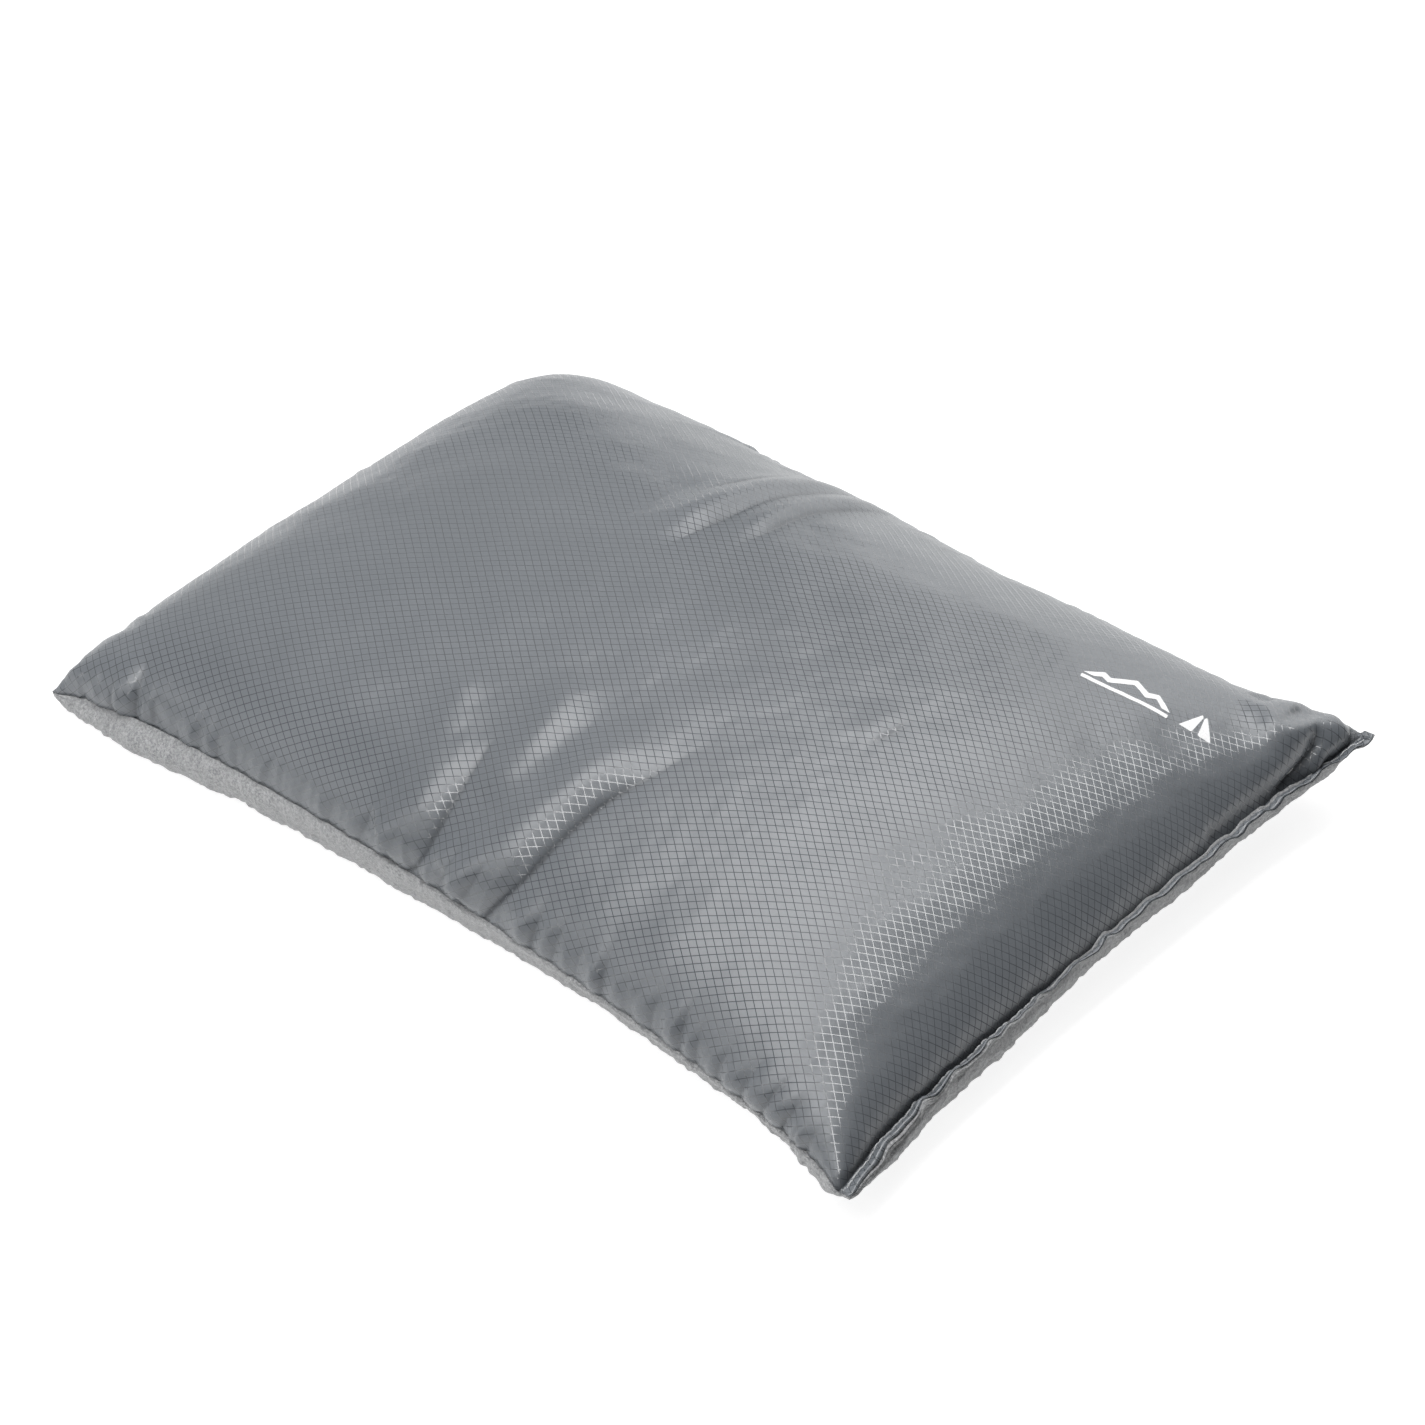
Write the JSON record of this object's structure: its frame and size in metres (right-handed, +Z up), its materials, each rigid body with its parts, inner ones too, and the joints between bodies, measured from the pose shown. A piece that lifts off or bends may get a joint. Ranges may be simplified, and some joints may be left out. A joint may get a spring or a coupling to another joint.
{
  "type": "camp pillow",
  "caption": "Soft rectangular travel pillow: a sewn bag of ripstop cloth over fleece, loosely filled with fibre, lying flat.",
  "frame": {"origin": "middle of the pillow's plan, on the surface that it rests on", "axes": "+X along the pillow to the topstitched closing seam, +Y across it, +Z up with the ripstop side on top"},
  "size_m": [0.414, 0.304, 0.0769],
  "materials": {
    "ripstop": "semi-sheen grey ripstop cloth with a fine diamond grid",
    "fleece": "brushed, lightly heathered pale grey fleece",
    "fibre": "loose matte hollow fibre",
    "print": "thin white heat-pressed film",
    "closing_thread": "twisted pale grey sewing thread",
    "seam_thread": "twisted grey sewing thread"
  },
  "bodies": {
    "root": {"top_panel": "ripstop", "bottom_panel": "fleece", "fibre_fill": "fibre", "printed_mark": "print", "closing_needle_thread": "closing_thread", "closing_bobbin_thread": "closing_thread", "seam_needle_thread": "seam_thread", "seam_bobbin_thread": "seam_thread"}
  },
  "joints": []
}
